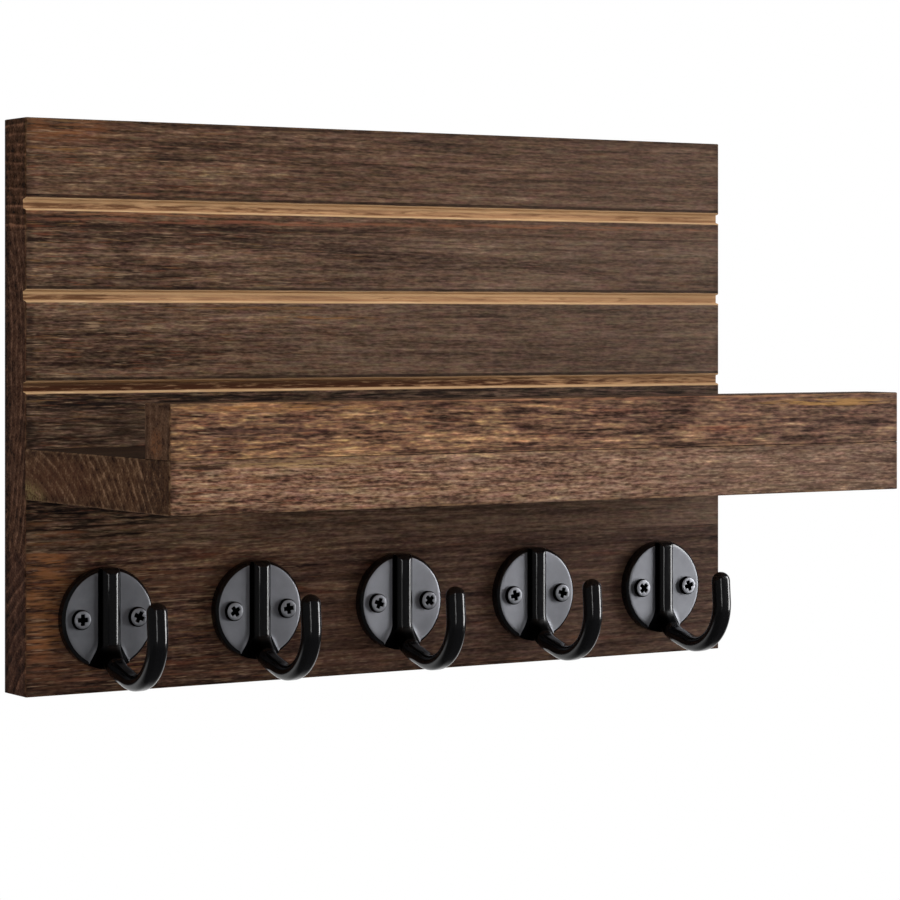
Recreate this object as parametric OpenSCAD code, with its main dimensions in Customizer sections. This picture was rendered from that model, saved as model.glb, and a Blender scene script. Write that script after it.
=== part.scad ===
// Wall mail organizer: a grooved backboard of three glued staves, an open-ended
// tray made of a shelf board and a front lip, and a row of cast coat hooks.
// The origin is the centre of the backboard's back face. X runs to the right,
// Y runs into the wall and Z runs up.

/* [Boards] */
// Width of the backboard, the shelf and the lip
board_w = 300; // [270:1:420]
// Thickness of the stock that every board is planed to
stock_t = 17.5; // [16:0.5:22]
// Height of the top stave of the backboard
top_stave_h = 39; // [36:0.5:48]
// Height of the middle stave of the backboard
middle_stave_h = 111.5; // [105:0.5:140]
// Height of the bottom stave of the backboard
bottom_stave_h = 49.5; // [47:0.5:60]
// Radius that sanding leaves along the edges
ease_r = 0.7; // [0.4:0.1:1.2]

/* [Tray] */
// Height of the shelf's underside above the lower edge of the backboard
shelf_rise = 68.1; // [58:0.1:76]
// How far the shelf stands out from the face of the backboard
shelf_reach = 107.3; // [80:0.1:140]
// Height of the lip above the shelf
lip_h = 18; // [14:0.5:30]
// Radius along the edges that meet in the seam between the shelf and the lip
seam_r = 0.3; // [0.2:0.05:0.5]

/* [Grooves] */
// Height of the top plank, above the first groove
top_plank_h = 27.8; // [24:0.1:34]
// Distance from one groove to the next
groove_pitch = 31.7; // [26:0.1:32]
// How many grooves there are
groove_count = 3; // [1:1:3]
// Width of a groove at the face of the board
groove_w = 4; // [3:0.1:5]
// Depth of a groove
groove_depth = 2; // [1:0.1:3]
// How much each wall of a groove leans in towards its floor
groove_lean = 0.5; // [0.2:0.1:0.8]
// How far the edges of a groove are broken at the face of the board
groove_edge = 0.4; // [0.2:0.05:0.5]

/* [Hook bases] */
// How many hooks there are
hook_count = 5; // [5:1:5]
// Distance from an end of the backboard to the middle of the nearest hook
hook_end = 30; // [22:1:40]
// Height of a hook's centre above the lower edge of the backboard
hook_rise = 26.2; // [24:0.1:28]
// Diameter of the round base
base_d = 35.6; // [34:0.1:40]
// Thickness of the round base
base_t = 4; // [3.4:0.1:5]
// Radius of the base's rim
rim_r = 1.7; // [1.2:0.1:2]

/* [Hook arms] */
// Width of the arm
arm_w = 7.4; // [6.8:0.1:9]
// Thickness of the arm
arm_t = 5.6; // [5:0.1:6.4]
// How far below the base's centre the arm starts to bend away
neck_drop = 6.5; // [6:0.1:7.5]
// Radius of the bend at the neck, at the middle of the arm
neck_r = 12; // [11:0.1:12.5]
// How much the arm falls as it runs out from the neck, in degrees
arm_fall = 15; // [5:1:22]
// Length of the straight run between the two bends
arm_run = 7.4; // [4:0.1:10]
// Radius of the open bend, at the middle of the arm
throat_r = 16.5; // [14:0.1:18]
// How much the end of the arm leans back to the wall, in degrees
tip_lean = 4; // [0:1:8]
// Length of the straight end, up to the round tip
tip_run = 8.4; // [5:0.1:12]
// Radius of the hollow flare that joins the arm to its base
flare_r = 5.2; // [4.4:0.1:5.6]
// How far below the base's centre the flare is centred
flare_drop = 14.8; // [14.4:0.1:15.6]

/* [Hook screws] */
// Distance between the two screws of a hook
hook_screw_pitch = 21.8; // [20:0.1:23]
// Diameter of the pan head
pan_d = 7; // [6.2:0.1:7.4]
// Height of the pan head
pan_h = 1.9; // [1.6:0.1:2.4]
// Diameter of the shank
hook_screw_d = 3.2; // [2.8:0.1:3.5]
// Length of the shank under the head
hook_screw_l = 16; // [14:0.5:18]
// Width of a slot of the cross recess
cross_w = 1.1; // [0.9:0.1:1.4]
// Length of a slot of the cross recess
cross_l = 3.6; // [3.2:0.1:4.4]
// Depth of the cross recess
cross_depth = 1.2; // [0.8:0.1:1.4]

/* [Board screws] */
// Distance from an end of a board to its nearest screw
board_screw_end = 30; // [25:1:45]
// Diameter of the countersunk head
sunk_d = 7.6; // [7:0.1:8.4]
// Diameter of the shank
board_screw_d = 3.8; // [3.5:0.1:4]
// Length of the screws that hold the shelf
shelf_screw_l = 40; // [38:1:50]
// Length of the screws that hold the lip
lip_screw_l = 30; // [28:1:30]
// How far the heads lie below the surface of the wood
sunk_below = 0.5; // [0.2:0.1:1]

/* [Hanging slots] */
// Distance from an end of the backboard to the nearest keyhole slot
keyhole_end = 50; // [35:1:70]
// Distance from the top edge down to the seat of a slot
keyhole_drop = 13; // [12:0.1:15]
// Distance from the entry hole up to the seat
keyhole_run = 12; // [10:0.1:12.5]
// Diameter of the entry hole
keyhole_entry_d = 9.5; // [8.5:0.1:10]
// Width of the slot that the screw's neck slides in
keyhole_neck_w = 5; // [4.4:0.1:5.4]
// Depth of the slot's neck
keyhole_neck_t = 4; // [3:0.1:5]
// Full depth of the slot
keyhole_depth = 10; // [9:0.1:11]

/* [Hidden] */
$fn = 64;

wood = "#5a3f2c";
wood_light = "#7a5a40";
enamel = "#26272a";
zinc_plate = "#b9bcc0";

// Clearance around a shank that passes through a piece
pass_gap = 0.3;
// Clearance around a shank that bites into the wood
bite_gap = 0.05;
// Clearance around a countersunk head
head_gap = 0.1;
// How much slimmer the arm's straight stretches are than its bends, on each side,
// and how far they are let into the bends
slim_step = 0.02;
let_in = 0.4;
// How much further round each hook screw stops than the one before it, in degrees
screw_turn = 28;
// How far a cutting tool runs past the surface that it starts from
past = 1;

board_h = top_stave_h + middle_stave_h + bottom_stave_h;
board_top = board_h / 2;
board_bottom = -board_h / 2;
front_y = -stock_t;
shelf_z = board_bottom + shelf_rise;
shelf_top_z = shelf_z + stock_t;
shelf_front_y = front_y - shelf_reach;
lip_middle_y = shelf_front_y + stock_t / 2;
hook_z = board_bottom + hook_rise;
keyhole_z = board_top - keyhole_drop;
base_r = base_d / 2;

// Distances between neighbouring hooks, between neighbouring screws of a board, and
// between the two keyhole slots, which all follow the width of the backboard
hook_pitch = (board_w - 2 * hook_end) / (hook_count - 1);
board_screw_pitch = board_w / 2 - board_screw_end;
keyhole_pitch = board_w - 2 * keyhole_end;

// Joints between the staves, from the top down
top_joint_z = board_top - top_stave_h;
bottom_joint_z = board_bottom + bottom_stave_h;

// How far the arm turns at the neck, and round the open bend
neck_turn = 90 - arm_fall;
throat_turn = arm_fall + 90 + tip_lean;

// Position of number i in a row of count things, centred on the middle
function in_row(i, count, pitch) = (i - (count - 1) / 2) * pitch;

// A rectangle from the origin up, with a radius for the corners at its foot and one
// for the corners at its top
module round_rectangle(size, foot_r, top_r) {
    translate([foot_r, 0]) square([size.x - 2 * foot_r, size.y / 2]);
    translate([top_r, size.y / 2]) square([size.x - 2 * top_r, size.y / 2]);
    translate([0, foot_r]) square([size.x, size.y - foot_r - top_r]);
    for (x = [foot_r, size.x - foot_r]) translate([x, foot_r]) circle(r = foot_r);
    for (x = [top_r, size.x - top_r]) translate([x, size.y - top_r]) circle(r = top_r);
}

// Turns an outline drawn in Y and Z into a bar that runs along X
module along_x(length) {
    translate([-length / 2, 0, 0])
        rotate([90, 0, 90]) linear_extrude(length) children();
}

// A board as it leaves the sander, from y to y + depth and from z to z + height, with
// a radius for the edges of its underside and one for all the others
module eased_board(y, depth, z, height, foot_r, r) {
    intersection() {
        along_x(board_w)
            translate([y, z]) round_rectangle([depth, height], foot_r, r);
        translate([-board_w / 2, y, z])
            linear_extrude(height) round_rectangle([board_w, depth], r, r);
        translate([-board_w / 2, y + depth, z])
            rotate([90, 0, 0]) linear_extrude(depth)
                round_rectangle([board_w, height], foot_r, r);
    }
}

// The whole backboard before it is cut, between two heights
module stave(z_low, z_high) {
    intersection() {
        eased_board(front_y, stock_t, board_bottom, board_h, ease_r, ease_r);
        translate([-board_w, front_y - past, z_low])
            cube([2 * board_w, stock_t + 2 * past, z_high - z_low]);
    }
}

// The grooves that make one board look like separate planks
module grooves() {
    // Where the walls of a groove lean to at the depth of its broken edges
    edge_lean = groove_lean * groove_edge / groove_depth;
    for (i = [0 : groove_count - 1])
        along_x(board_w + 2 * past)
            translate([front_y, board_top - top_plank_h - i * groove_pitch])
                polygon([
                    [-past, groove_edge],
                    [0, groove_edge],
                    [groove_edge, -edge_lean],
                    [groove_depth, -groove_lean],
                    [groove_depth, groove_lean - groove_w],
                    [groove_edge, edge_lean - groove_w],
                    [0, -groove_w - groove_edge],
                    [-past, -groove_w - groove_edge]
                ]);
}

// A slot with round ends, cut from the back at one depth and going in from there
module hanging_slot(width, depth_from, depth_to) {
    translate([0, -depth_from, 0]) rotate([90, 0, 0]) linear_extrude(depth_to - depth_from) {
        circle(d = width);
        translate([-width / 2, -keyhole_run]) square([width, keyhole_run]);
    }
}

// A routed keyhole: the entry hole, the narrow neck and the wide channel behind it
module keyhole() {
    translate([0, past, -keyhole_run])
        rotate([90, 0, 0]) cylinder(d = keyhole_entry_d, h = keyhole_depth + past);
    hanging_slot(keyhole_neck_w, -past, keyhole_neck_t);
    hanging_slot(keyhole_entry_d, keyhole_neck_t, keyhole_depth);
}

module backboard_top() {
    color(wood) difference() {
        stave(top_joint_z, board_top);
        grooves();
        for (side = [-1, 1])
            translate([side * keyhole_pitch / 2, 0, keyhole_z]) keyhole();
    }
}

module backboard_middle() {
    color(wood) difference() {
        stave(bottom_joint_z, top_joint_z);
        grooves();
        at_shelf_screws() sunk_hole(board_screw_d / 2 + pass_gap, stock_t);
    }
}

module backboard_bottom() {
    color(wood) difference() {
        stave(board_bottom, bottom_joint_z);
        grooves();
        at_hook_screws() bite_hole(hook_screw_d / 2, hook_screw_l);
    }
}

// Shelf: square where it butts against the backboard, eased at its front and its ends
module shelf_board() {
    color(wood_light) difference() {
        intersection() {
            eased_board(shelf_front_y, shelf_reach + 2 * ease_r, shelf_z, stock_t, ease_r, ease_r);
            translate([-board_w, shelf_front_y, shelf_z - past])
                cube([2 * board_w, shelf_reach, stock_t + 2 * past]);
        }
        at_shelf_screws() bite_hole(board_screw_d / 2, shelf_screw_l);
        at_lip_screws() sunk_hole(board_screw_d / 2 + pass_gap, stock_t);
    }
}

// Lip: glued and screwed on the shelf, flush with its front edge
module front_lip() {
    color(wood_light) difference() {
        eased_board(shelf_front_y, stock_t, shelf_top_z, lip_h, seam_r, ease_r);
        at_lip_screws() bite_hole(board_screw_d / 2, lip_screw_l);
    }
}

// Section of the arm, with its thickness along the first axis: flat inside and
// outside, with full round sides. A slimmer one is let into a thicker one.
module arm_section(slimmer = 0) {
    side = (arm_w - arm_t) / 2;
    translate([slimmer - arm_t / 2, -side]) square([arm_t - 2 * slimmer, 2 * side]);
    for (y = [-side, side]) translate([0, y]) circle(d = arm_t - 2 * slimmer);
}

// The arm is drawn as a path. Each piece starts at the origin, heads down and bends
// outwards, and what comes next is drawn at the end of the piece before it.
module arm_straight(length) {
    rotate([180, 0, 90]) translate([0, 0, -let_in])
        linear_extrude(length + 2 * let_in) arm_section(slim_step);
}

module past_straight(length) {
    translate([0, 0, -length]) children();
}

// Everything below the origin's level, as far as a bend can reach
module lower_half() {
    reach = 4 * (throat_r + arm_w);
    translate([-reach / 2, -reach / 2, -reach]) cube(reach);
}

// A full ring, cut down to the turn that the arm makes
module arm_bend(r, turn) {
    translate([0, r, 0]) intersection() {
        rotate([90, 0, 90]) rotate_extrude() translate([r, 0]) arm_section();
        lower_half();
        rotate([turn + 180, 0, 0]) lower_half();
    }
}

module past_bend(r, turn) {
    translate([0, r, 0]) rotate([turn, 0, 0]) translate([0, -r, 0]) children();
}

// Round end of the arm: a short rod with a ball at each side
module arm_tip() {
    side = (arm_w - arm_t) / 2;
    tip_d = arm_t - 2 * slim_step;
    for (x = [-side, side]) translate([x, 0, 0]) sphere(d = tip_d);
    translate([-side, 0, 0]) rotate([0, 90, 0]) cylinder(d = tip_d, h = 2 * side);
}

// The arm from the neck to the tip
module arm() {
    arm_bend(neck_r, neck_turn);
    past_bend(neck_r, neck_turn) {
        arm_straight(arm_run);
        past_straight(arm_run) {
            arm_bend(throat_r, throat_turn);
            past_bend(throat_r, throat_turn) {
                arm_straight(tip_run - let_in);
                past_straight(tip_run) arm_tip();
            }
        }
    }
}

// A turned disc standing out from the board, with its front rim rounded
module disc(r, thickness, rim) {
    rotate([-90, 0, 0]) rotate_extrude() {
        square([r - rim, thickness]);
        square([r, thickness - rim]);
        translate([r - rim, thickness - rim]) circle(r = rim);
    }
}

// The rib down the middle of the base, cut off by the base's outline
module base_rib() {
    intersection() {
        translate([0, base_t, base_r]) rotate([180, 0, 90])
            linear_extrude(base_r + neck_drop) arm_section();
        disc(base_r, base_t + arm_t / 2, arm_t / 2);
    }
}

// The flare where the arm leaves the base, cut off by the base's outline. Its hollow
// side runs from the face of the base into the thickness of the arm.
module neck_flare() {
    root_r = arm_t / 2 + flare_r;
    intersection() {
        translate([0, 0, -flare_drop]) rotate([-90, 0, 0]) rotate_extrude() {
            difference() {
                square([root_r, base_t + flare_r]);
                translate([root_r, base_t + flare_r]) circle(r = flare_r);
            }
        }
        disc(base_r, base_t + arm_t / 2, rim_r);
    }
}

// One cast hook, standing out along Y from the centre of its base
module hook_casting() {
    difference() {
        union() {
            disc(base_r, base_t, rim_r);
            base_rib();
            neck_flare();
            translate([0, base_t, -neck_drop]) arm();
        }
        for (side = [-1, 1])
            translate([side * hook_screw_pitch / 2, -past, 0])
                rotate([-90, 0, 0]) cylinder(d = hook_screw_d + 2 * pass_gap, h = base_t + 2 * past);
    }
}

module hook(number) {
    color(enamel)
        translate([in_row(number - 1, hook_count, hook_pitch), front_y, hook_z])
            mirror([0, 1, 0]) hook_casting();
}

module hook_1() { hook(1); }
module hook_2() { hook(2); }
module hook_3() { hook(3); }
module hook_4() { hook(4); }
module hook_5() { hook(5); }

// Places its children at each screw, with Z pointing out of the head
module at_hook_screws() {
    for (i = [0 : hook_count - 1], side = [-1, 1])
        translate([
            in_row(i, hook_count, hook_pitch) + side * hook_screw_pitch / 2,
            front_y - base_t,
            hook_z
        ]) rotate([90, 0, 0]) rotate([0, 0, screw_turn * (2 * i + side)]) children();
}

module at_shelf_screws() {
    for (i = [-1, 0, 1])
        translate([i * board_screw_pitch, 0, shelf_z + stock_t / 2])
            rotate([-90, 0, 0]) children();
}

module at_lip_screws() {
    for (i = [-1, 0, 1])
        translate([i * board_screw_pitch, lip_middle_y, shelf_z])
            rotate([180, 0, 0]) children();
}

// A hole that a shank bites into, as deep as the screw is long
module bite_hole(r, length) {
    translate([0, 0, -length]) cylinder(r = r + bite_gap, h = length + past);
}

// Outline of a countersunk head: radius r at its rim, down to the shank's own radius
module sunk_outline(r, shank_r) {
    polygon([
        [0, 0],
        [r, 0],
        [shank_r, shank_r - r],
        [0, shank_r - r]
    ]);
}

// A through hole of radius r with a countersink for the head
module sunk_hole(r, depth) {
    head_r = sunk_d / 2 + head_gap;
    translate([0, 0, -depth - past]) cylinder(r = r, h = depth + 2 * past);
    translate([0, 0, -sunk_below]) rotate_extrude() {
        sunk_outline(head_r, r);
        square([head_r, sunk_below + past]);
    }
}

// Cross recess, cut down from the top of a head
module cross_recess(depth) {
    for (turn = [0, 90])
        rotate([0, 0, turn]) translate([-cross_l / 2, -cross_w / 2, -depth])
            cube([cross_l, cross_w, depth + past]);
}

// Pan head: a low dome whose rim stands straight up for its lower part
module pan_head() {
    rim_h = pan_h / 3;
    dome_h = pan_h - rim_h;
    dome_r = (pan_d * pan_d / 4 + dome_h * dome_h) / (2 * dome_h);
    rotate_extrude() {
        square([pan_d / 2, rim_h]);
        intersection() {
            translate([0, pan_h - dome_r]) circle(r = dome_r);
            square([pan_d / 2, pan_h]);
        }
    }
}

// Shank with a pointed end
module shank(d, length) {
    point_l = d;
    rotate_extrude() polygon([
        [0, 0],
        [d / 2, 0],
        [d / 2, point_l - length],
        [0, -length]
    ]);
}

module hook_screws() {
    color(enamel) at_hook_screws() difference() {
        union() {
            pan_head();
            shank(hook_screw_d, hook_screw_l);
        }
        translate([0, 0, pan_h]) cross_recess(cross_depth);
    }
}

// Countersunk screw whose head lies just below the surface of the wood
module board_screw(length) {
    translate([0, 0, -sunk_below]) difference() {
        union() {
            rotate_extrude() sunk_outline(sunk_d / 2, board_screw_d / 2);
            shank(board_screw_d, length - sunk_below);
        }
        cross_recess(cross_depth);
    }
}

module shelf_screws() {
    color(zinc_plate) at_shelf_screws() board_screw(shelf_screw_l);
}

module lip_screws() {
    color(zinc_plate) at_lip_screws() board_screw(lip_screw_l);
}

backboard_top();
backboard_middle();
backboard_bottom();
shelf_board();
front_lip();
hook_1();
hook_2();
hook_3();
hook_4();
hook_5();
hook_screws();
shelf_screws();
lip_screws();
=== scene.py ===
# %% [markdown]
# # A wall rack for letters, coats and keys
#
# The real object is a grooved backboard of dark, torched softwood. A shelf and a
# front lip make an open tray on it, and five cast hooks with a black enamel hang in a
# row below. The boards come from the CAD model as they are and get their wood here.
# The hooks and the screws are modelled again, because a casting has soft inner
# corners and a pressed screw has a recess that plain solids don't show.

# %% Load the boards and the tools
import math

import bpy
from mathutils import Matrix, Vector


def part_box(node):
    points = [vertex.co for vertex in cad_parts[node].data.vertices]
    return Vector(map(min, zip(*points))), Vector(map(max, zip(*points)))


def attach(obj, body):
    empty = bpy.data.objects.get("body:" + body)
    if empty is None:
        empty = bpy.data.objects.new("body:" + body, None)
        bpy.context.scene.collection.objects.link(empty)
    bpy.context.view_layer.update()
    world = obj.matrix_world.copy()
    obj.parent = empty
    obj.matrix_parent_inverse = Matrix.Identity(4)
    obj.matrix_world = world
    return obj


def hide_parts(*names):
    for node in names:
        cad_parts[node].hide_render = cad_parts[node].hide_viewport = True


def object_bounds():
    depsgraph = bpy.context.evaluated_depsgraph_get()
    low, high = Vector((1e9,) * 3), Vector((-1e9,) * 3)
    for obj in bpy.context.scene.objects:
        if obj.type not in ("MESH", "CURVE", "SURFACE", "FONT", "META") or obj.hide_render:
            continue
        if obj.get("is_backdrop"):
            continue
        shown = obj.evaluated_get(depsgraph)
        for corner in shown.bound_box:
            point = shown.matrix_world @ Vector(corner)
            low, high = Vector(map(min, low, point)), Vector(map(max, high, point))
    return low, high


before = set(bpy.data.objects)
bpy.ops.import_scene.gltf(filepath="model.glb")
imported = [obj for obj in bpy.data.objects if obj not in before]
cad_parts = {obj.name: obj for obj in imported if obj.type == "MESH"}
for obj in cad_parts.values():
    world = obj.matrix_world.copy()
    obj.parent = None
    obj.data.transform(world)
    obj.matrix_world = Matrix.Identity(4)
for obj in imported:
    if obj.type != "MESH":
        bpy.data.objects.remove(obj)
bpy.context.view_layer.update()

MM = 0.001

# %% [markdown]
# ## The camera
#
# The photograph was taken with a long lens from the left, level with the second
# groove, and was then framed lower. A shifted lens does the same: the camera stays
# level, so that upright edges stay upright, and the picture slides down.

# %% Camera
camera_data = bpy.data.cameras.new("rack_camera")
camera_data.sensor_width = 36
camera_data.lens = 123.6
camera_data.shift_y = -0.141
camera_data.clip_start = 0.05
camera_data.clip_end = 60
camera = bpy.data.objects.new("rack_camera", camera_data)
camera.location = (-0.600, -0.992, 0.029)
camera.rotation_euler = (math.radians(90), 0, math.radians(-32.61))
bpy.context.scene.collection.objects.link(camera)
bpy.context.scene.camera = camera
print("Camera looks", round(math.degrees(-camera.rotation_euler.z), 2), "degrees to the right of +Y")


# %% [markdown]
# ## One helper for colours, one for nodes
#
# Colours are written as sRGB hex values, the way a paint chart gives them, and Blender
# wants linear values. A material is a list of nodes, so one small function adds a
# node, sets what it is told and links what it is given. Its inputs come as a list in
# the order in which the node shows them, or each by its name or number.

# %% Colour and node helpers
def linear(hex_colour, alpha=1.0):
    """An sRGB hex colour as the linear colour that Blender works with."""
    channels = [int(hex_colour[i : i + 2], 16) / 255 for i in (1, 3, 5)]
    return (*[c / 12.92 if c <= 0.04045 else ((c + 0.055) / 1.055) ** 2.4 for c in channels], alpha)


def add(tree, kind, inputs=None, stops=None, **settings):
    """Adds a node. An input takes a value, a colour, a socket, or a node, which gives its first output in use."""
    made = tree.nodes.new("ShaderNode" + kind)
    for name, value in settings.items():
        setattr(made, name, value)
    if isinstance(inputs, list):
        inputs = dict(enumerate(inputs))
    for place, value in (inputs or {}).items():
        if isinstance(value, str):
            value = linear(value)
        if isinstance(value, bpy.types.Node):
            value = next(output for output in value.outputs if output.enabled)
        if isinstance(value, bpy.types.NodeSocket):
            tree.links.new(value, made.inputs[place])
        else:
            made.inputs[place].default_value = value
    if stops:
        ramp = made.color_ramp.elements
        for _ in stops[2:]:
            ramp.new(0.5)
        for element, (position, colour) in zip(ramp, stops):
            element.position, element.color = position, colour
    return made


# Settings that many nodes share: a step with soft ends, a mix of two colours, and common sums
SOFT = dict(interpolation_type="SMOOTHSTEP")
COLOUR = dict(data_type="RGBA")
TIMES = dict(operation="MULTIPLY")
MINUS = dict(operation="SUBTRACT")
SIZE = dict(operation="ABSOLUTE")


def shades(colours, low=0.08, high=0.92):
    """Colours from dark to light as the stops of a ramp, spaced evenly over a range of tones."""
    step = (high - low) / (len(colours) - 1)
    return [(low + step * i, linear(colour)) for i, colour in enumerate(colours)]


def new_material(name):
    """An empty node material, and its tree."""
    material = bpy.data.materials.new(name)
    material.use_nodes = True
    material.node_tree.nodes.clear()
    return material, material.node_tree


# %% [markdown]
# ## The studio
#
# The object hangs in front of plain white, so the world is white to the camera. On
# the object itself it is a soft grey light. The lamps are two tall softboxes and one
# overhead panel. The right softbox is the key: it lights the wood, and its blurred
# reflection makes the hook faces paler from left to right. The narrow front one
# draws the second bright line down each rib.

# %% World
world = bpy.data.worlds.new("white_studio")
bpy.context.scene.world = world
world.use_nodes = True
sky = world.node_tree
sky.nodes.clear()
AMBIENT, DARK_STUDIO = 0.38, 0.10
ray = add(sky, "LightPath")
room = add(sky, "Background", {"Color": "#ffffff", "Strength": AMBIENT})
white = add(sky, "Background", {"Color": "#ffffff", "Strength": 1.0})
# What lies behind and below the object is white in reflections too. In front of it
# the studio is dark, apart from the lamps.
towards = add(sky, "SeparateXYZ", [add(sky, "TexCoord").outputs["Generated"]])
behind = add(sky, "MapRange", [towards.outputs["Y"], 0.2, 0.6])
# A black flag at the left keeps the boards' ends and the hooks' left sides from greying
flag = add(sky, "MapRange", [towards.outputs["X"], -0.45, -0.15])
backdrop = add(sky, "Math", [behind, flag], **TIMES)
dark = add(sky, "Background", {"Color": "#ffffff", "Strength": DARK_STUDIO})
mirror_room = add(sky, "MixShader", [backdrop, dark, white])
seen = add(sky, "MixShader", [ray.outputs["Is Glossy Ray"], room, mirror_room])
shown = add(sky, "Math", [ray.outputs["Is Camera Ray"], ray.outputs["Is Transmission Ray"]],
            operation="MAXIMUM")
add(sky, "OutputWorld", [add(sky, "MixShader", [shown, seen, white])])


# %% Softboxes
def softbox(name, width, height, azimuth, elevation, distance, radiance):
    """A rectangular lamp that faces the object. Azimuth turns from straight in front to the right."""
    lamp = bpy.data.lights.new(name, "AREA")
    lamp.shape = "RECTANGLE"
    lamp.size, lamp.size_y = width, height
    # A panel's power in watts is pi times its area for each unit of radiance
    lamp.energy = radiance * math.pi * width * height
    placed = bpy.data.objects.new(name, lamp)
    a, e = math.radians(azimuth), math.radians(elevation)
    out = Vector((math.sin(a) * math.cos(e), -math.cos(a) * math.cos(e), math.sin(e)))
    placed.location = out * distance
    placed.rotation_euler = out.to_track_quat("Z", "Y").to_euler()
    bpy.context.scene.collection.objects.link(placed)


softbox("right_softbox", 0.8, 1.8, 61, 8, 2.2, 12.5)
softbox("front_strip", 0.35, 1.5, -2, 8, 2.2, 4.0)
softbox("overhead_panel", 1.3, 1.0, 15, 60, 2.0, 3.6)

# %% Floor
bpy.ops.object.select_all(action="DESELECT")
bpy.ops.mesh.primitive_plane_add(size=8, location=(0, 0, -1.5))
floor = bpy.context.object
floor.name = "floor"
floor_paint, tree = new_material("matt_white_floor_paint")
paint_layer = add(tree, "BsdfPrincipled", {"Base Color": "#f2f1ee", "Roughness": 0.9})
# Black card lies on the floor in front, out of the picture, so the hooks mirror it
depth = add(tree, "SeparateXYZ", [add(tree, "TexCoord").outputs["Object"]]).outputs["Y"]
mirrored = add(tree, "MixShader", [
    add(tree, "MapRange", [depth, 0.3, 1.6]),
    add(tree, "Emission", {"Color": "#ffffff", "Strength": 0.06}),
    add(tree, "Emission", {"Color": "#ffffff", "Strength": 0.9})])
add(tree, "OutputMaterial", [add(tree, "MixShader", [
    add(tree, "LightPath").outputs["Is Glossy Ray"], paint_layer, mirrored])])
floor.data.materials.append(floor_paint)
floor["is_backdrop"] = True
bpy.context.scene.view_settings.view_transform = "Standard"

# %% [markdown]
# ## Torched softwood
#
# The boards are light softwood, such as paulownia or fir. A torch burns the surface,
# a wire brush takes the soft early wood out of the char, and a dark oil evens the
# brown. The eye sees three things at once: growth rings, fine fibres and pores along
# the grain, and soft patches where the flame stayed longer.
#
# Growth rings are round shells about the middle of the tree. So the pattern is made as
# a solid one: each board is given the place of that middle and the slant of its grain,
# and the same shells then draw arcs on the sawn end and long lines or flames on the
# faces. A flat picture of grain wouldn't meet itself at an edge.

# %% Streaks and layers
def streaks(tree, grain, along, across, **settings):
    """Noise whose spots are so many millimetres long and wide, drawn out along the grain."""
    size = add(tree, "VectorMath", [grain, (1 / along, 1 / across, 1 / across)], **TIMES)
    return add(tree, "TexNoise", {"Vector": size, "Scale": 1.0, **settings})


def layers(tree, tone, patterns):
    """Adds patterns to a tone. Each swings about zero, and its weight says how far."""
    for pattern, weight in patterns:
        swing = add(tree, "MapRange", [pattern, 0.3, 0.7, -weight / 2, weight / 2])
        tone = add(tree, "Math", [tone, swing], operation="ADD")
    return tone


# %% Growth rings
def growth_rings(tree, grain, width, wander):
    """Shells about the middle of the tree, 1 in their late wood. They wander so many mm along the board."""
    stray = add(tree, "VectorMath", [streaks(tree, grain, 110, 26, Detail=2.0).outputs["Color"], (0.5,) * 3],
                **MINUS)
    strayed = add(tree, "VectorMath", [stray, (0, wander, wander), grain], operation="MULTIPLY_ADD")
    across = add(tree, "VectorMath", [strayed, (0, 1, 1)], **TIMES)
    radius = add(tree, "VectorMath", [across], operation="LENGTH")
    shells = add(tree, "Math", [radius, width], operation="DIVIDE")
    # Late wood darkens slowly through the summer and stops at once in the autumn
    late = add(tree, "ValToRGB", [add(tree, "Math", [shells], operation="FRACT")], stops=[
        (0.0, (0.25,) * 4), (0.08, (0.0,) * 4), (0.55, (0.22,) * 4), (0.86, (1.0,) * 4), (1.0, (0.25,) * 4)])
    year = add(tree, "Math", [shells], operation="FLOOR")
    year = add(tree, "TexWhiteNoise", {"W": year}, noise_dimensions="1D")
    strength = add(tree, "MapRange", {0: year, 3: 0.35, 4: 1.0})
    return add(tree, "Math", [late, strength], **TIMES)


# %% Torch marks and painted shade
# The colour of soot, also used for the painted shade on the faces that look up
SOOT_AND_SHADE = "#120c0a"


def torch_and_shade_marks(tree, colour, place, grain, marks):
    """Places the flame treated in its own way, and places of painted shade: x, z, half length and half height in mm,
    tint, and strength.
    """
    ragged = streaks(tree, grain, 12, 0.9, Detail=4.0, Roughness=0.65)
    ragged = add(tree, "MapRange", [ragged, 0.4, 0.6], **SOFT)
    for x, z, half_length, half_height, tint, strength in marks:
        off = add(tree, "VectorMath", [place, (x, 0, z)], **MINUS)
        off = add(tree, "VectorMath", [off, (1 / half_length, 0, 1 / half_height)], **TIMES)
        out = add(tree, "VectorMath", [off], operation="LENGTH")
        inside = add(tree, "MapRange", {0: out, 1: 1.2, 2: 0.5, 4: strength}, **SOFT)
        share = add(tree, "Math", [inside, ragged], **TIMES)
        colour = add(tree, "Mix", {0: share, 6: colour, 7: tint}, **COLOUR)
    return colour


# %% Worn and scorched edges
def edge_distance(tree, place, box):
    """How far a point on a face of a box is from the nearest edge, in mm: its middle distance of three."""
    low, high = ([v / MM for v in corner] for corner in box)
    from_low = add(tree, "VectorMath", [place, low], **MINUS)
    from_high = add(tree, "VectorMath", [high, place], **MINUS)
    near = add(tree, "VectorMath", [from_low, from_high], operation="MINIMUM")
    x, y, z = add(tree, "SeparateXYZ", [near]).outputs
    smaller = add(tree, "Math", [x, y], operation="MINIMUM")
    larger = add(tree, "Math", [x, y], operation="MAXIMUM")
    rest = add(tree, "Math", [larger, z], operation="MINIMUM")
    return add(tree, "Math", [smaller, rest], operation="MAXIMUM")


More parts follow.
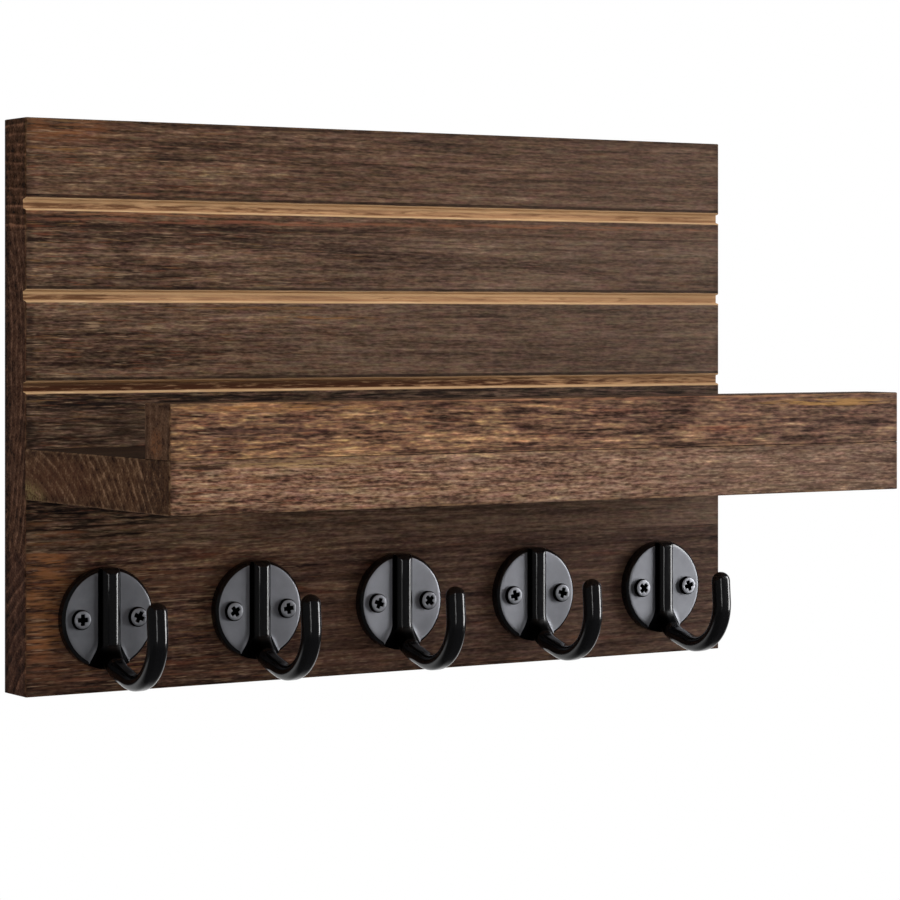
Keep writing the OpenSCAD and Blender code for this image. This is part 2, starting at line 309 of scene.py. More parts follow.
def used_edges(tree, colour, place, grain, box, worn):
    """The flame scorches an edge first, and handling then wears the sharpest part of it pale again."""
    distance = edge_distance(tree, place, box)
    near = add(tree, "MapRange", [distance, 0.4, 4.0, 1.0, 0.0], **SOFT)
    uneven = streaks(tree, grain, 26, 6, Detail=2.0)
    uneven = add(tree, "MapRange", [uneven, 0.35, 0.65, 0.1, 0.5], **SOFT)
    darkening = add(tree, "Math", [near, uneven], **TIMES)
    colour = add(tree, "Mix", {0: darkening, 6: colour, 7: "#1e120d"}, **COLOUR)
    near = add(tree, "MapRange", [distance, 0.25, 0.95, 1.0, 0.0], **SOFT)
    uneven = streaks(tree, grain, 5, 3, Detail=3.0)
    uneven = add(tree, "MapRange", {0: uneven, 1: 0.45, 2: 0.65, 4: worn[1]}, **SOFT)
    rubbed = add(tree, "Math", [near, uneven], **TIMES)
    return add(tree, "Mix", {0: rubbed, 6: colour, 7: worn[0]}, **COLOUR)


# %% Bare grooves
FACE_Y = -17.5 * MM
GROOVE_MID = 6.8          # middle of the lowest groove, in mm
GROOVE_PITCH = 31.7
GROOVE_HALF = 2.0
GROOVE_DEPTH = 2.0


def grooves(tree, colour, place, grain, facing):
    """The grooves are cut after the board is torched, so their wood is bare and honey coloured."""
    x, y, z = add(tree, "SeparateXYZ", [place]).outputs
    wrapped = add(tree, "Math", [z, GROOVE_MID + GROOVE_PITCH / 2, GROOVE_MID - GROOVE_PITCH / 2],
                  operation="WRAP")
    off_middle = add(tree, "Math", [wrapped, GROOVE_MID], **MINUS)
    # The pattern of three would have a fourth at the top edge, and it would run over the sawn ends
    three = add(tree, "Math", [z, GROOVE_MID + GROOVE_PITCH, 1.2 * GROOVE_PITCH], operation="COMPARE")
    on_face = add(tree, "Math", [facing.outputs["X"]], **SIZE)
    on_face = add(tree, "MapRange", [on_face, 0.5, 0.3], **SOFT)
    in_front = add(tree, "Math", [y, FACE_Y / MM + GROOVE_DEPTH + 0.5], operation="LESS_THAN")
    allowed = add(tree, "Math", [three, on_face], **TIMES)
    allowed = add(tree, "Math", [allowed, in_front], **TIMES)

    def only_grooves(share):
        return add(tree, "Math", [share, allowed], **TIMES)

    # The cutter leaves a thin burnt line on the face above each groove
    to_line = add(tree, "Math", [off_middle, GROOVE_HALF + 0.85, 0.5], operation="COMPARE")
    burnt = only_grooves(add(tree, "Math", [to_line, 0.6], **TIMES))
    colour = add(tree, "Mix", {0: burnt, 6: colour, 7: SOOT_AND_SHADE}, **COLOUR)

    # Oil has stayed in them: as specks in the top one, at the left of the middle one, and along most of the lowest
    specks = add(tree, "MapRange", [x, -150, 60, 0.10, -0.04])
    at_left = add(tree, "MapRange", [x, -128, -100, 0.16, -0.09])
    below_top = add(tree, "MapRange", [z, 56, 55])
    lowest = add(tree, "MapRange", [z, 24, 23])
    amount = add(tree, "Mix", {0: below_top, 2: specks, 3: at_left}, data_type="FLOAT")
    all_along = add(tree, "MapRange", [x, -30, 120, 0.2, 0.03])
    amount = add(tree, "Mix", {0: lowest, 2: amount, 3: all_along}, data_type="FLOAT")
    residue = streaks(tree, grain, 9, 0.8, Detail=4.0, Roughness=0.6)
    residue = add(tree, "Math", [residue, amount], operation="ADD")
    residue = add(tree, "MapRange", [residue, 0.44, 0.7], **SOFT)
    honey = streaks(tree, grain, 24, 0.8, Detail=3.0)
    honey = add(tree, "ValToRGB", [honey], stops=shades(["#86644a", "#a47e5c", "#ba966e"], 0.3, 0.7))
    oil = add(tree, "Mix", {0: lowest, 6: "#63442e", 7: "#43281a"}, **COLOUR)
    floor_wood = add(tree, "Mix", {0: residue, 6: honey, 7: oil}, **COLOUR)
    # The upper half of the floor is painted paler, a painted pool of light: strongly in the middle groove, less in
    # the top one, hardly at all in the lowest
    upper_light_share = add(tree, "Mix", {0: below_top, 2: 0.55, 3: 0.9}, data_type="FLOAT")
    upper_light_share = add(tree, "Mix", {0: lowest, 2: upper_light_share, 3: 0.08}, data_type="FLOAT")
    painted_upper_light = add(tree, "MapRange", [off_middle, 0.1, 1.0], **SOFT)
    painted_upper_light = add(tree, "Math", [painted_upper_light, upper_light_share], **TIMES)
    floor_wood = add(tree, "Mix", {0: painted_upper_light, 6: floor_wood, 7: "#cca77c"}, **COLOUR)
    # The sloping walls of the grooves are painted paler than their floor, a painted highlight
    on_wall = add(tree, "MapRange", {0: residue, 1: 0.7, 2: 1.0, 4: 0.35}, **SOFT)
    painted_lit_wall = add(tree, "Mix", {0: on_wall, 6: "#d6b48c", 7: "#8a6544"}, **COLOUR)
    sloping = add(tree, "Math", [facing.outputs["Z"]], **SIZE)
    sloping = add(tree, "MapRange", [sloping, 0.03, 0.12], **SOFT)
    bare = add(tree, "Mix", {0: sloping, 6: floor_wood, 7: painted_lit_wall}, **COLOUR)
    # Oil has run in at the right, where the grooves are browner
    at_right = add(tree, "MapRange", {0: x, 1: 60, 2: 150, 4: 0.4}, **SOFT)
    bare = add(tree, "Mix", {0: at_right, 6: bare, 7: "#6b4c34"}, **COLOUR)
    at_groove = add(tree, "Math", [off_middle, 0.0, GROOVE_HALF + 0.6], operation="COMPARE")
    cut_in = add(tree, "MapRange", [y, FACE_Y / MM + 0.08, FACE_Y / MM + 0.3], **SOFT)
    in_groove = only_grooves(add(tree, "Math", [at_groove, cut_in], **TIMES))
    colour = add(tree, "Mix", {0: in_groove, 6: colour, 7: bare}, **COLOUR)
    # The brush has rubbed the sharp edges of the grooves pale
    at_edge = add(tree, "Math", [off_middle], **SIZE)
    at_edge = add(tree, "Math", [at_edge, GROOVE_HALF - 0.15, 0.52], operation="COMPARE")
    rubbed = streaks(tree, grain, 16, 2, Detail=3.0)
    rubbed = add(tree, "MapRange", [rubbed, 0.38, 0.55, 0.15, 0.75], **SOFT)
    rubbed = only_grooves(add(tree, "Math", [at_edge, rubbed], **TIMES))
    return add(tree, "Mix", {0: rubbed, 6: colour, 7: "#b08c66"}, **COLOUR)


# %% Torched wood
def torched_wood(name, middle, slant, ring, wander, face, spots, fibres, end, warm, marks, box, worn,
                 end_bold=0.62, darkening=0.6):
    """
    middle: where the middle of the tree lies, (y, z) in metres
    slant: how much the grain turns about Y and Z, in degrees
    ring: width of a growth ring in mm, and how strongly the rings show
    wander: how far the rings wander along the board, in mm
    face, end: colours from dark to light, for the faces and for the sawn ends
    spots: length and width of the fibres and of the pores, in mm
    fibres: how strongly the fibres, the pores, the threads, the bands and the patches show
    warm: a redder brown, how much of the face it covers, and how strong it is
    marks: scorched or spared places, and places of painted shade
    box: the box whose edges are worn, and worn: the colour of that wear and how strong it is
    end_bold: how bold the grain is at the right end
    darkening: how strongly the faces that look up are painted dark, a painted shade
    The end is a dict of its own: its colours, its tone and how strongly the rings show, and its marks by y and z.
    """
    material, tree = new_material(name)
    here = add(tree, "TexCoord").outputs["Object"]
    place = add(tree, "VectorMath", [here, (1 / MM,) * 3], **TIMES)
    turn = (0, math.radians(slant[0]), math.radians(slant[1]))
    grain = add(tree, "Mapping", [here, (0, *middle), turn, (MM, MM, MM)], vector_type="TEXTURE")
    facing = add(tree, "SeparateXYZ", [add(tree, "NewGeometry").outputs["Normal"]])
    late = growth_rings(tree, grain, ring[0], wander)

    fibre = streaks(tree, grain, *spots[0], Detail=3.0, Roughness=0.6)
    pore = streaks(tree, grain, *spots[1], Detail=2.0, Roughness=0.5)
    thread = streaks(tree, grain, 55, 2.0, Detail=3.0, Roughness=0.5)
    band = streaks(tree, grain, 190, 4.5, Detail=2.0, Roughness=0.5)
    patch = streaks(tree, grain, 80, 18, Detail=3.0, Roughness=0.5)
    tone = layers(tree, 0.5, zip((fibre, pore, thread, band, patch), fibres))
    tone = add(tree, "Math", [late, -ring[1], tone], operation="MULTIPLY_ADD")
    # The brush bit harder at the left, so the grain is bolder there
    left_to_right, y, z = add(tree, "SeparateXYZ", [place]).outputs
    bold = add(tree, "MapRange", [left_to_right, -150, 100, 1.15, end_bold])
    tone = add(tree, "Math", [add(tree, "Math", [tone, 0.5], **MINUS), bold, 0.5],
               operation="MULTIPLY_ADD")
    face_colour = add(tree, "ValToRGB", [tone], stops=shades(face))
    redder, cover, strength = warm
    glow = streaks(tree, grain, 45, 3.5, Detail=4.0, Roughness=0.65, Distortion=0.3)
    glow = add(tree, "MapRange", {0: glow, 1: 0.6 - cover, 2: 0.78 - cover, 4: strength}, **SOFT)
    glow = add(tree, "Math", [glow, bold], **TIMES)
    redder = add(tree, "Mix", {0: 1.0, 6: face_colour, 7: redder}, **COLOUR, blend_type="OVERLAY")
    face_colour = add(tree, "Mix", {0: glow, 6: face_colour, 7: redder}, **COLOUR)
    # No two fibres have quite the same hue: red, grey and olive browns lie side by side
    hues = streaks(tree, grain, 7, 1.3, Detail=3.0, Roughness=0.6).outputs["Color"]
    face_colour = add(tree, "Mix", {0: 0.26, 6: face_colour, 7: hues}, **COLOUR, blend_type="OVERLAY")
    # The oil has greyed a little towards the right
    greyer = add(tree, "MapRange", [left_to_right, -80, 150, 0.0, 0.28])
    grey = add(tree, "HueSaturation", {"Saturation": 0.55, "Color": face_colour})
    face_colour = add(tree, "Mix", {0: greyer, 6: face_colour, 7: grey}, **COLOUR)
    # Where the flame didn't reach, single threads keep a golden or a red brown
    wilder = add(tree, "MapRange", [left_to_right, 20, -150, 0.2], **SOFT)
    for tint, seed, rare, long, strength in (("#86623a", 3.1, 0.61, 15, 0.42), ("#6e3e2a", 7.7, 0.59, 14, 0.5),
                                             ("#a08468", 5.3, 0.60, 10, 0.55)):
        shifted = add(tree, "VectorMath", [grain, (seed * 100, seed * 10, seed)], operation="ADD")
        spared = streaks(tree, shifted, long, 0.65, Detail=2.0, Roughness=0.55)
        spared = add(tree, "MapRange", {0: spared, 1: rare, 2: rare + 0.10, 4: strength}, **SOFT)
        spared = add(tree, "Math", [spared, wilder], **TIMES)
        face_colour = add(tree, "Mix", {0: spared, 6: face_colour, 7: tint}, **COLOUR)
    face_colour = torch_and_shade_marks(tree, face_colour, place, grain, marks)

    # The sawn end: the same rings seen head on, with the fibres as dots. Its marks go by y and z
    dots = streaks(tree, grain, 3.0, 0.7, Detail=2.0)
    cloud = streaks(tree, grain, 9, 3.5, Detail=3.0)
    end_tone = add(tree, "Math", [late, end["rings"], end["tone"]], operation="MULTIPLY_ADD")
    end_tone = layers(tree, end_tone, [(dots, 0.40), (cloud, 0.45)])
    end_colour = add(tree, "ValToRGB", [end_tone], stops=shades(end["colours"], 0.1, 0.9))
    end_colour = torch_and_shade_marks(tree, end_colour, add(tree, "CombineXYZ", {0: y, 2: z}), grain, end["marks"])
    at_end = add(tree, "Math", [facing.outputs["X"]], **SIZE)
    at_end = add(tree, "MapRange", [at_end, 0.45, 0.75], **SOFT)
    # Faces that look up are painted dark, a painted shade on the tray floor and on the tops of the boards
    painted_top_shade = add(tree, "MapRange", {0: facing.outputs["Z"], 1: 0.6, 2: 0.9, 4: darkening}, **SOFT)
    face_colour = add(tree, "Mix", {0: painted_top_shade, 6: face_colour, 7: SOOT_AND_SHADE}, **COLOUR)
    colour = add(tree, "Mix", {0: at_end, 6: face_colour, 7: end_colour}, **COLOUR)
    colour = used_edges(tree, colour, place, grain, box, worn)
    if name.startswith("torched_backboard"):
        colour = grooves(tree, colour, place, grain, facing)

    depth = add(tree, "MapRange", {0: at_end, 3: 1.0, 4: 0.2}, **SOFT)
    relief = add(tree, "Math", [tone, depth], **TIMES)
    bump = add(tree, "Bump", {"Height": relief, "Strength": 0.8, "Distance": 0.35 * MM})
    rough = add(tree, "MapRange", [tone, 0.2, 0.9, 0.62, 0.80])
    add(tree, "OutputMaterial", [add(tree, "BsdfPrincipled", {
        "Base Color": colour, "Roughness": rough, "Specular IOR Level": 0.03, "Normal": bump})])
    return material


# %% The three staves of the backboard
board_low, board_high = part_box("backboard_top")
for stave in ("backboard_middle", "backboard_bottom"):
    low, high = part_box(stave)
    board_low = [min(pair) for pair in zip(board_low, low)]
    board_high = [max(pair) for pair in zip(board_high, high)]
board_box = (board_low, board_high)
print("Backboard box, in mm:", [[round(v / MM, 1) for v in corner] for corner in board_box])

FINE = ((12, 0.85), (2.6, 0.8))
BURNT = [(-1, 0, 4.5, 120, "#0c0706", 0.85)]
WOODS = {
    # Marks hold x and z of their middle, half length, half height, colour and strength
    "backboard_top": dict(
        middle=(-0.009, -0.300), slant=(0.25, 0.2), ring=(3.1, 0.24), wander=5.0,
        face=["#231812", "#3b2b21", "#543e30", "#6a5241", "#8a7055"],
        spots=FINE, fibres=(0.40, 0.32, 0.28, 0.26, 0.12),
        end=dict(colours=["#170c09", "#49301f", "#654433", "#966a50"], rings=0.60, tone=0.36, marks=BURNT),
        warm=("#a8541c", 0.00, 0.5),
        marks=[(-137, 96.5, 24, 6, "#76492c", 0.65), (-139, 89.7, 14, 0.7, "#8a6034", 0.55),
               (20, 99.6, 150, 1.0, "#241a16", 0.7), (-112, 67.6, 60, 1.3, "#8a5c40", 0.8),
               (-70, 65.0, 90, 1.0, "#7c4c38", 0.75), (70, 65.6, 90, 0.9, "#7e5038", 0.6),
               (-90, 62.6, 110, 0.9, "#2a1d17", 0.6), (-149.5, 62, 3, 6, "#1c1210", 0.5),
               (-95, 82, 75, 22, "#2a1d16", 0.22)],
        box=board_box, worn=("#86684a", 0.25)),
    "backboard_middle": dict(
        middle=(0.150, 0.012), slant=(0.3, 0.4), ring=(3.4, 0.22), wander=7.0,
        face=["#261a13", "#3f2e24", "#584335", "#6e5746", "#8c7259"],
        spots=FINE, fibres=(0.40, 0.33, 0.29, 0.28, 0.12),
        end=dict(colours=["#1d110d", "#4d3224", "#664737", "#8f6852"], rings=0.45, tone=0.38, marks=BURNT),
        warm=("#a0501f", -0.02, 0.5),
        marks=[(-70, 59.6, 85, 0.9, "#271b15", 0.6), (60, 57, 90, 0.8, "#2c201a", 0.5),
               (-30, 31, 30, 0.6, "#8f6234", 0.5), (-149.5, 20, 3.2, 42, "#1b1210", 0.6),
               (-120, 44, 30, 1.6, "#241a15", 0.4), (-60, 34.4, 40, 0.6, "#8a6440", 0.5),
               # Painted shade: the dark marks at z -22, 1.5 and -34.5 along the board, and at x -122, z -4 and -38,
               # stand for the shade under the shelf, just above the lip and in the tray
               (0, -22, 230, 27, "#1c110c", 0.68), (0, 1.5, 260, 4.5, "#15100e", 0.85),
               (-122, -4, 60, 15, "#15100d", 0.35),
               (0, -34.5, 260, 5.5, "#120d0b", 0.95), (-122, -38, 38, 9, "#0f0b0a", 0.9),
               (-138, -44, 12, 1.2, "#7e5034", 0.65), (-126, -47.4, 24, 0.9, "#74492f", 0.6),
               (-141, -40.4, 10, 0.8, "#7a5238", 0.6), (-112, -42.6, 20, 0.8, "#64422e", 0.5),
               (-116, -45.2, 36, 1.2, "#0f0a08", 0.8), (-134, -42.2, 16, 0.8, SOOT_AND_SHADE, 0.75),
               (-122, -49.3, 40, 1.0, SOOT_AND_SHADE, 0.7)],
        box=board_box, worn=("#7e6248", 0.25)),
    "backboard_bottom": dict(
        middle=(-0.075, -0.150), slant=(-0.3, 0.2), ring=(4.2, 0.24), wander=6.0,
        face=["#1b110d", "#32221b", "#473329", "#5d4738", "#806850"],
        spots=FINE, fibres=(0.44, 0.36, 0.35, 0.28, 0.16),
        end=dict(colours=["#180d0a", "#432a20", "#5a3d30", "#845c48"], rings=0.50, tone=0.37, marks=BURNT),
        warm=("#a84e1a", 0.04, 0.6),
        marks=[(-141, -53, 10, 5, "#74472a", 0.6), (-124, -60, 12, 4, "#6a4028", 0.5),
               (-146, -84, 6, 5, "#6a3f28", 0.6), (-143, -66, 11, 24, "#96633c", 0.52),
               (-60, -94, 90, 3, "#644030", 0.3), (-40, -91, 60, 5, "#1e1410", 0.35),
               (-138, -92, 24, 7, "#704a34", 0.4), (-84, -59, 30, 10, "#6a4834", 0.3),
               (-26, -76, 16, 20, "#5e4434", 0.3),
               (0, -99.6, 190, 1.3, "#130c0a", 0.8)],
        box=board_box, worn=("#7a5c40", 0.25)),
}


# %% Dress the boards
def dress(woods):
    """Gives each board a wood of its own."""
    for board, look in woods.items():
        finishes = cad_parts[board].data.materials
        finishes.clear()
        finishes.append(torched_wood("torched_" + board, **look))
    print("Torched wood on", list(woods))


dress(WOODS)

# %% [markdown]
# The shelf and the lip were brushed harder than the backboard. Their faces are a
# lighter, granular brown, where short dark pores and pale flecks lie close together.
# Their edges are only worn where a hand can reach them, so the box that the wear goes
# by runs on behind the shelf and under the lip.

# %% The shelf and the lip
shelf_low, shelf_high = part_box("shelf_board")
lip_low, lip_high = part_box("front_lip")
INTO = 0.030
TRAY_WOODS = {
    "shelf_board": dict(
        # The shelf's top is painted darkest, a painted shade inside the tray
        middle=(0.005, -0.102), slant=(0.3, 0.5), ring=(3.6, 0.18), wander=3.0, end_bold=0.8, darkening=0.86,
        face=["#35241b", "#593f31", "#795c49", "#90715b", "#b8946f"],
        spots=((9, 0.85), (2.4, 0.75)), fibres=(0.48, 0.46, 0.24, 0.22, 0.14),
        end=dict(colours=["#2c1a12", "#573a29", "#6e503a", "#a07c60"], rings=0.45, tone=0.40,
                 marks=[(-19, -32, 17, 7.5, "#9a8458", 1.0), (-46, -24, 30, 8, "#5c3828", 0.7),
                        (-114, -24, 12, 14, "#2c1d17", 0.6)]),
        warm=("#a85c28", 0.0, 0.5),
        marks=[(-70, -20.2, 75, 0.5, "#33231b", 0.7), (-20, -24.5, 120, 0.5, "#3a281f", 0.6),
               (60, -22, 90, 0.5, "#3f2d24", 0.6), (-100, -16.4, 30, 1.5, "#b08e62", 0.7),
               (120, -30, 40, 2, "#4a3a2c", 0.6),
               (105, -24, 70, 10, "#4c3a30", 0.6)],
        box=(shelf_low, (shelf_high[0], shelf_high[1] + INTO, shelf_high[2])), worn=("#8a6c50", 0.6)),
    "front_lip": dict(
        middle=(0.030, -0.012), slant=(0.6, 1.4), ring=(3.6, 0.25), wander=12.0, end_bold=0.8,
        face=["#281912", "#4a3327", "#6b4d3b", "#876649", "#b68c64"],
        spots=((15, 1.0), (3.2, 0.9)), fibres=(0.58, 0.44, 0.32, 0.26, 0.13),
        end=dict(colours=["#35221a", "#604433", "#735541", "#927058"], rings=0.30, tone=0.40,
                 marks=[(-115.5, -9.5, 4.5, 5, "#8a5a3c", 0.8)]),
        warm=("#b05f22", 0.02, 0.6),
        marks=[(118, 0.5, 34, 1.6, "#a07848", 0.75), (122, -6, 30, 1.3, "#3a2822", 0.7),
               (60, -4, 60, 1.0, "#46312a", 0.5), (-115, -5, 30, 3.0, "#3c2a26", 0.6),
               (-110, 1.8, 40, 1.4, "#a87646", 0.6), (20, 3.0, 110, 0.6, "#b07a5c", 0.6),
               (0, -13.4, 170, 0.7, "#2a1b15", 0.7)],
        box=((lip_low[0], lip_low[1], lip_low[2] - INTO), lip_high), worn=("#8c6a4a", 0.4)),
}
dress(TRAY_WOODS)

# %% [markdown]
# ## A cast hook
#
# The real hook is one zinc casting: a round base, a rib down its middle, and an arm
# that leaves the base in a flare, runs out and curls up to a round tip. One rod makes
# the rib and the arm: its end face is extruded down, spun round the neck, extruded
# out, spun round the open bend and extruded up. Where solids meet in a casting, the
# inner corners are soft. Joining the pieces in one skin of tiny, even faces and
# smoothing that skin a little gives these corners, and rounds the outer edges as
# polishing does.

# %% Sizes of a hook and its screws
PITCH = 60 * MM
HOOK_Z = -73.8 * MM
BASE_R, BASE_T, RIM_R = 17.8 * MM, 4.0 * MM, 1.7 * MM
ARM_W, ARM_T = 7.4 * MM, 5.6 * MM
NECK_DROP, NECK_R, NECK_TURN = 6.5 * MM, 12.0 * MM, math.radians(75)
ARM_RUN, THROAT_R, THROAT_TURN = 7.4 * MM, 16.5 * MM, math.radians(109)
TIP_RUN, TIP_DOME = 8.4 * MM, 3.5 * MM
FLARE_DROP, FLARE_OUT, FLARE_UP = 14.8 * MM, 5.2 * MM, 4.4 * MM
SCREW_OUT = 10.9 * MM
CLEAR_R = 1.9 * MM
HOOKS = 5
SKIN_FACE = 0.28 * MM


# %% Modelling helpers
def deselect():
    """Leaves edit mode and deselects everything, because an operator acts on all that is selected."""
    if bpy.context.object and bpy.context.object.mode == "EDIT":
        bpy.ops.object.mode_set(mode="OBJECT")
    bpy.ops.object.select_all(action="DESELECT")


def choose(*pieces):
    """Selects just these pieces. The first one is active, and operators work on it."""
    deselect()
    for piece in pieces:
        piece.select_set(True)
    bpy.context.view_layer.objects.active = pieces[0]


def take(name):
    """The primitive that was just added, with its place in its mesh and a name."""
    piece = bpy.context.object
    piece.name = piece.data.name = name
    bpy.ops.object.transform_apply(location=True, rotation=True, scale=True)
    return piece


def edit(piece, kind, wanted):
    """Goes into edit mode with just those faces, edges or points selected whose middle and direction pass a test."""
    choose(piece)
    mesh = piece.data
    bpy.context.tool_settings.mesh_select_mode = (kind == "vertices", kind == "edges", kind == "polygons")
    for part in (*mesh.vertices, *mesh.edges, *mesh.polygons):
        part.select = False
    for part in getattr(mesh, kind):
        if kind == "vertices":
            middle, normal = part.co, part.normal
        elif kind == "edges":
            ends = [mesh.vertices[i].co for i in part.vertices]
            middle, normal = (ends[0] + ends[1]) / 2, (ends[1] - ends[0]).normalized()
        else:
            middle, normal = part.center, part.normal
        part.select = bool(wanted(middle, normal))
    bpy.ops.object.mode_set(mode="EDIT")


def extrude(step, scale=None):
    """Pulls the selected face out by a step, and resizes its new end."""
    bpy.ops.mesh.extrude_region_move(TRANSFORM_OT_translate={"value": step})
    if scale:
        bpy.ops.transform.resize(value=scale)


def finish_with(piece, kind, **settings):
    """Adds a modifier and applies it."""
    choose(piece)
    modifier = piece.modifiers.new(kind.title(), kind)
    for name, value in settings.items():
        setattr(modifier, name, value)
    bpy.ops.object.modifier_apply(modifier=modifier.name)


def cut(piece, tool, operation="DIFFERENCE"):
    """Cuts a piece with a tool, which is then thrown away."""
    finish_with(piece, "BOOLEAN", object=tool, operation=operation, solver="EXACT")
    bpy.data.objects.remove(tool)


def join(piece, *others):
    """Makes several meshes one object."""
    choose(piece, *others)
    bpy.ops.object.join()
    return piece


def round_bar(name, radius, length, at, axis, vertices=96):
    """A cylinder that starts at a point and runs along an axis."""
    deselect()
    direction = Vector(axis)
    bpy.ops.mesh.primitive_cylinder_add(
        vertices=vertices, radius=radius, depth=length, location=Vector(at) + direction * length / 2,
        rotation=direction.to_track_quat("Z", "X").to_euler())
    return take(name)


def turned(name, profile, vertices=64):
    """A solid turned about Z: one face is extruded up and resized along a list of (radius, height)."""
    deselect()
    radius, height = profile[0]
    bpy.ops.mesh.primitive_circle_add(vertices=vertices, radius=radius, fill_type="NGON", location=(0, 0, height))
    solid = take(name)
    edit(solid, "polygons", lambda middle, normal: True)
    for next_radius, next_height in profile[1:]:
        share = next_radius / radius
        extrude((0, 0, next_height - height), (share, share, 1))
        radius, height = next_radius, next_height
    face_outwards()
    return solid


def face_outwards():
    """Turns every face of the piece in edit mode outwards."""
    bpy.ops.mesh.select_all(action="SELECT")
    bpy.ops.mesh.normals_make_consistent(inside=False)
    deselect()


def put(piece, place=(0, 0, 0), turn=(0, 0, 0)):
    """Turns a piece about the origin, moves it, and keeps its place in its mesh."""
    choose(piece)
    piece.rotation_euler, piece.location = turn, place
    bpy.ops.object.transform_apply(location=True, rotation=True, scale=True)
    return piece


# %% Round base
def turned_disc(name, thickness, rim):
    """A disc that stands out from the board, with its front rim rounded."""
    disc = round_bar(name, BASE_R, thickness, (0, 0, 0), (0, -1, 0), vertices=144)
    edit(disc, "edges", lambda middle, along: middle.y < -thickness + 0.01 * MM)
    bpy.ops.mesh.bevel(offset=rim, segments=8, profile=0.5)
    deselect()
    return disc


base = turned_disc("hook_base", BASE_T, RIM_R)
for side in (-1, 1):
    cut(base, round_bar("clearance", CLEAR_R, 3 * BASE_T, (side * SCREW_OUT, BASE_T, 0), (0, -1, 0), vertices=48))
print("Base:", [round(v / MM, 2) for v in base.dimensions], "mm")

# %% [markdown]
# The section of the rib and the arm is a flat oval: a circle whose halves are moved
# apart. The two points on its middle line belong to no half and stay in the flats. The
# rib is cut off by the round outline of the base. Spin turns the selected face about
# an axis, and the new end stays selected for the next step.

# %% Rib
def oval_face(name, height):
    """The section of the arm, lying level at a height above the middle of the base."""
    deselect()
    bpy.ops.mesh.primitive_circle_add(
        vertices=50, radius=ARM_T / 2, fill_type="NGON", location=(0, -BASE_T, height))
    oval = take(name)
    for side in (-1, 1):
        edit(oval, "vertices", lambda place, normal: place.x * side > 0)
        bpy.ops.transform.translate(value=(side * (ARM_W - ARM_T) / 2, 0, 0))
    edit(oval, "polygons", lambda middle, normal: True)
    return oval


rib = oval_face("hook_rib", BASE_R + MM)
extrude((0, 0, -BASE_R - MM - NECK_DROP))
face_outwards()
cut(rib, turned_disc("rib_limit", BASE_T + ARM_T / 2, ARM_T / 2), "INTERSECT")


# %% Arm
def heading(turn):
    """Which way the arm runs after a turn, and which way the middle of its bend lies."""
    return Vector((0, -math.sin(turn), -math.cos(turn))), Vector((0, -math.cos(turn), math.sin(turn)))


arm = oval_face("hook_arm", -NECK_DROP)
end, bent = Vector((0, -BASE_T, -NECK_DROP)), 0.0
for radius, turn, run in ((NECK_R, NECK_TURN, ARM_RUN), (THROAT_R, THROAT_TURN, TIP_RUN + ARM_T / 2 - TIP_DOME)):
    middle = end + heading(bent)[1] * radius
    # With no window, spin turns against the right-hand rule
    bpy.ops.mesh.spin(steps=round(math.degrees(turn) / 3), angle=turn, center=middle, axis=(1, 0, 0))
    bent += turn
    forward, inward = heading(bent)
    extrude(forward * run)
    end = middle - inward * radius + forward * run
# The tip is a dome: nearly a quarter of a circle, drawn out a little, in nine steps
angles = [math.radians(9.5 * i) for i in range(10)]
for before, after in zip(angles, angles[1:]):
    share = math.cos(after) / math.cos(before)
    extrude(forward * TIP_DOME * (math.sin(after) - math.sin(before)), (share, share, share))
face_outwards()
print("Arm:", [round(v / MM, 2) for v in arm.dimensions], "mm")

# %% Flare at the neck
# Its hollow side is a quarter of an oval, from the face of the base outwards
quarter = [math.radians(9 * i) for i in range(11)]
hollow = [(ARM_T / 2 + FLARE_OUT * (1 - math.sin(a)), BASE_T + FLARE_UP * (1 - math.cos(a))) for a in quarter]
flare = turned("neck_flare", [(ARM_T / 2 + FLARE_OUT, 0), *hollow], vertices=72)
put(flare, (0, 0, -FLARE_DROP), (math.radians(90), 0, 0))
cut(flare, turned_disc("flare_limit", BASE_T + ARM_T / 2, RIM_R), "INTERSECT")

# %% One skin
casting = join(base, rib, arm, flare)
casting.name = "hook_casting"
finish_with(casting, "REMESH", mode="VOXEL", voxel_size=SKIN_FACE, adaptivity=0.0)
finish_with(casting, "SMOOTH", factor=0.5, iterations=4)
choose(casting)
bpy.ops.object.shade_smooth()
print("Casting:", len(casting.data.polygons), "faces,", [round(v / MM, 2) for v in casting.dimensions], "mm")

# %% [markdown]
# ## Screws
#
# A pan head is turned as a low dome with an upright rim, and a countersunk head as a
# cone. A punch with four tapered wings presses the cross recess, so the same punch
# cuts both heads here. The thread is a small triangle that is wound up the shank.

# %% Screw sizes
PAN_R, PAN_H = 3.5 * MM, 1.7 * MM
HOOK_SHANK_R, HOOK_SCREW_L = 1.6 * MM, 16 * MM
SUNK_R, BOARD_SHANK_R = 3.8 * MM, 1.9 * MM
SHELF_SCREW_L, LIP_SCREW_L = 39.5 * MM, 29.5 * MM
THREAD_PITCH = 1.5 * MM
# The board screws stand in threes. Their heads lie just below the wood, at these y and z
BOARD_SCREWS, BOARD_SCREW_PITCH = 3, 120 * MM
SHELF_SCREW_AT = (-0.5 * MM, -23.15 * MM)
LIP_SCREW_AT = (-116.05 * MM, -31.4 * MM)
PUNCH_L, PUNCH_W, PUNCH_DEPTH = 5.8 * MM, 1.8 * MM, 1.4 * MM


